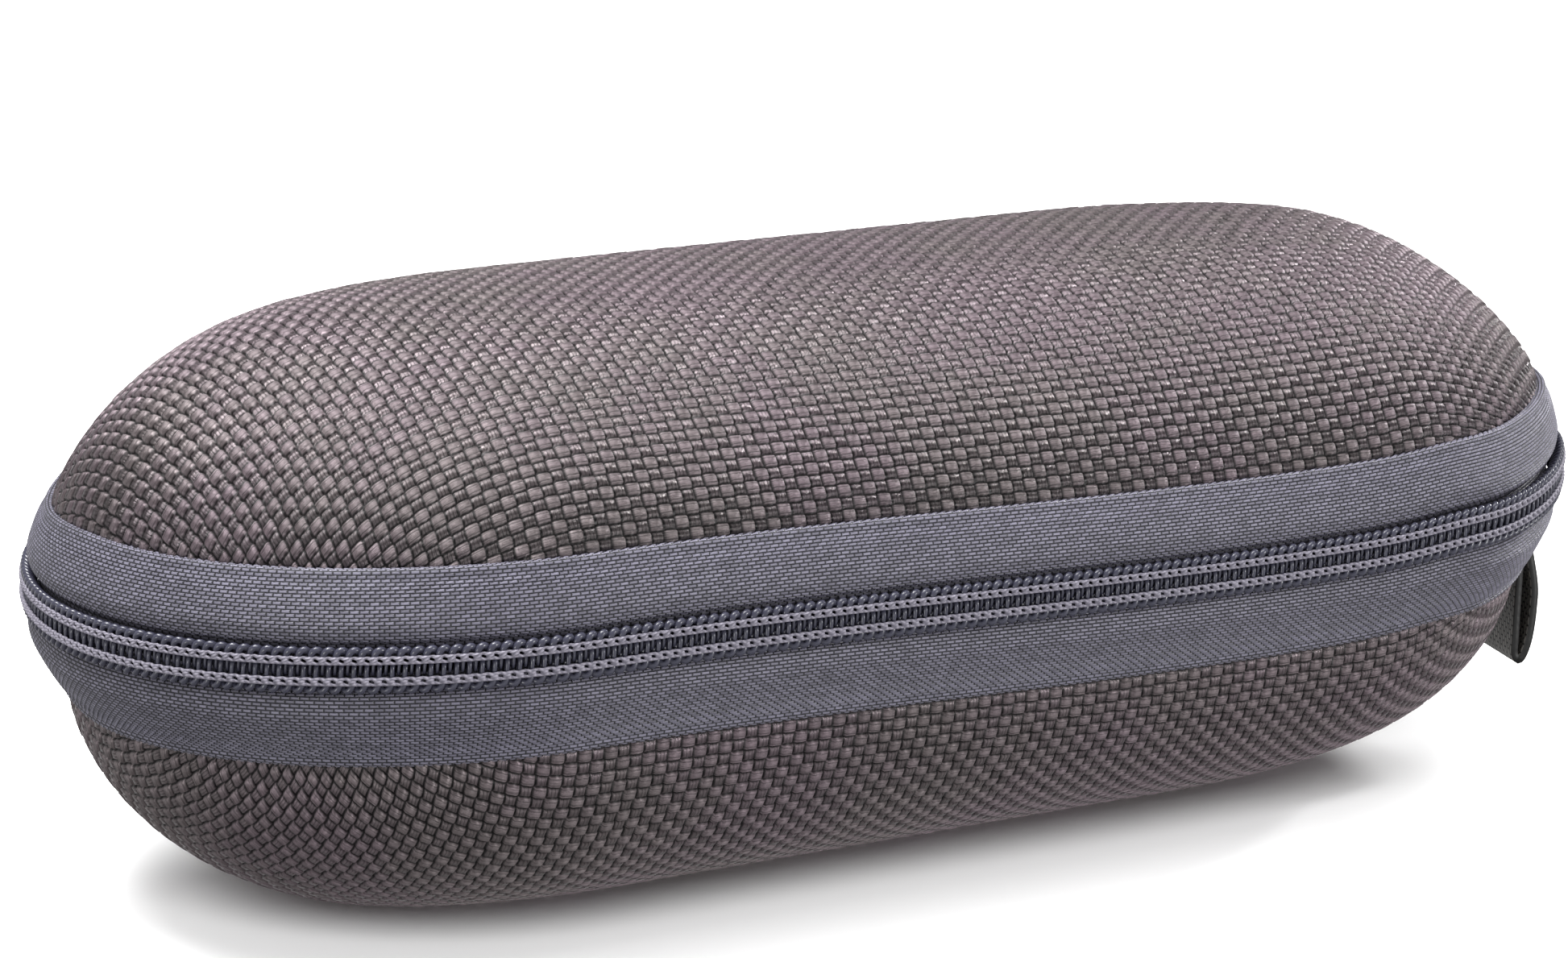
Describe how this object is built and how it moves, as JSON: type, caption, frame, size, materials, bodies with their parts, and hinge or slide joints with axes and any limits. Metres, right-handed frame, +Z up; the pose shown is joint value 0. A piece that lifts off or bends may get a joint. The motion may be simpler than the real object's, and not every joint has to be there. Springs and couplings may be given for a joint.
{
  "type": "headphone carrying case",
  "caption": "Oblong zip-round clamshell case with a woven skin over moulded foam shells, a fabric back hinge, a coil zip with slider and pull, and a webbing loop.",
  "frame": {"origin": "middle of the flat face under the base that the case rests on", "axes": "+Z up, +X along the length towards the end with the webbing loop, -Y towards the front, where the zip opens; the fabric hinge is on the +Y side"},
  "size_m": [0.218, 0.0991, 0.0765],
  "materials": {
    "woven_skin": "coarse ballistic weave, warm grey-brown with a soft sheen",
    "eva_foam": "matte closed-cell foam",
    "lining": "short-pile velour",
    "binding_tape": "plain-woven binding",
    "zip_tape": "fine-woven zip tape, slate blue-grey",
    "zip_coil": "glossy nylon monofilament",
    "webbing": "narrow webbing, olive grey",
    "pocket_mesh": "knitted net",
    "elastic": "ribbed elastic",
    "slider_metal": "dark plated zinc, semi-gloss"
  },
  "bodies": {
    "base": {"base_cover": "woven_skin", "base_shell": "eva_foam", "base_lining": "lining", "base_binding": "binding_tape", "base_zip_tape": "zip_tape", "base_coil": "zip_coil", "base_hinge_strip": "zip_tape", "webbing_loop": "webbing", "base_zip_stop_right": "slider_metal", "base_zip_stop_left": "slider_metal"},
    "lid": {"lid_cover": "woven_skin", "lid_shell": "eva_foam", "lid_lining": "lining", "lid_binding": "binding_tape", "lid_zip_tape": "zip_tape", "lid_coil": "zip_coil", "lid_hinge_strip": "zip_tape", "lid_pocket": "pocket_mesh", "lid_pocket_band": "elastic", "lid_zip_stop_right": "slider_metal", "lid_zip_stop_left": "slider_metal"},
    "slider": {"slider_body": "slider_metal"},
    "pull": {"pull_tab": "slider_metal"}
  },
  "joints": [
    {"name": "lid_hinge", "type": "hinge", "parent": "base", "child": "lid", "pos_m": [0, 0.0493, 0.042], "axis": [-1, 0, 0], "range_deg": [0, 115]},
    {"name": "slider_travel", "type": "hinge", "parent": "base", "child": "slider", "pos_m": [0.0603, 0, 0.042], "axis": [0, 0, -1], "range_deg": [0, 120]},
    {"name": "pull_swing", "type": "hinge", "parent": "slider", "child": "pull", "pos_m": [0.10065, 0.03152, 0.042], "axis": [0, 0, -1], "range_deg": [0, 175]}
  ]
}
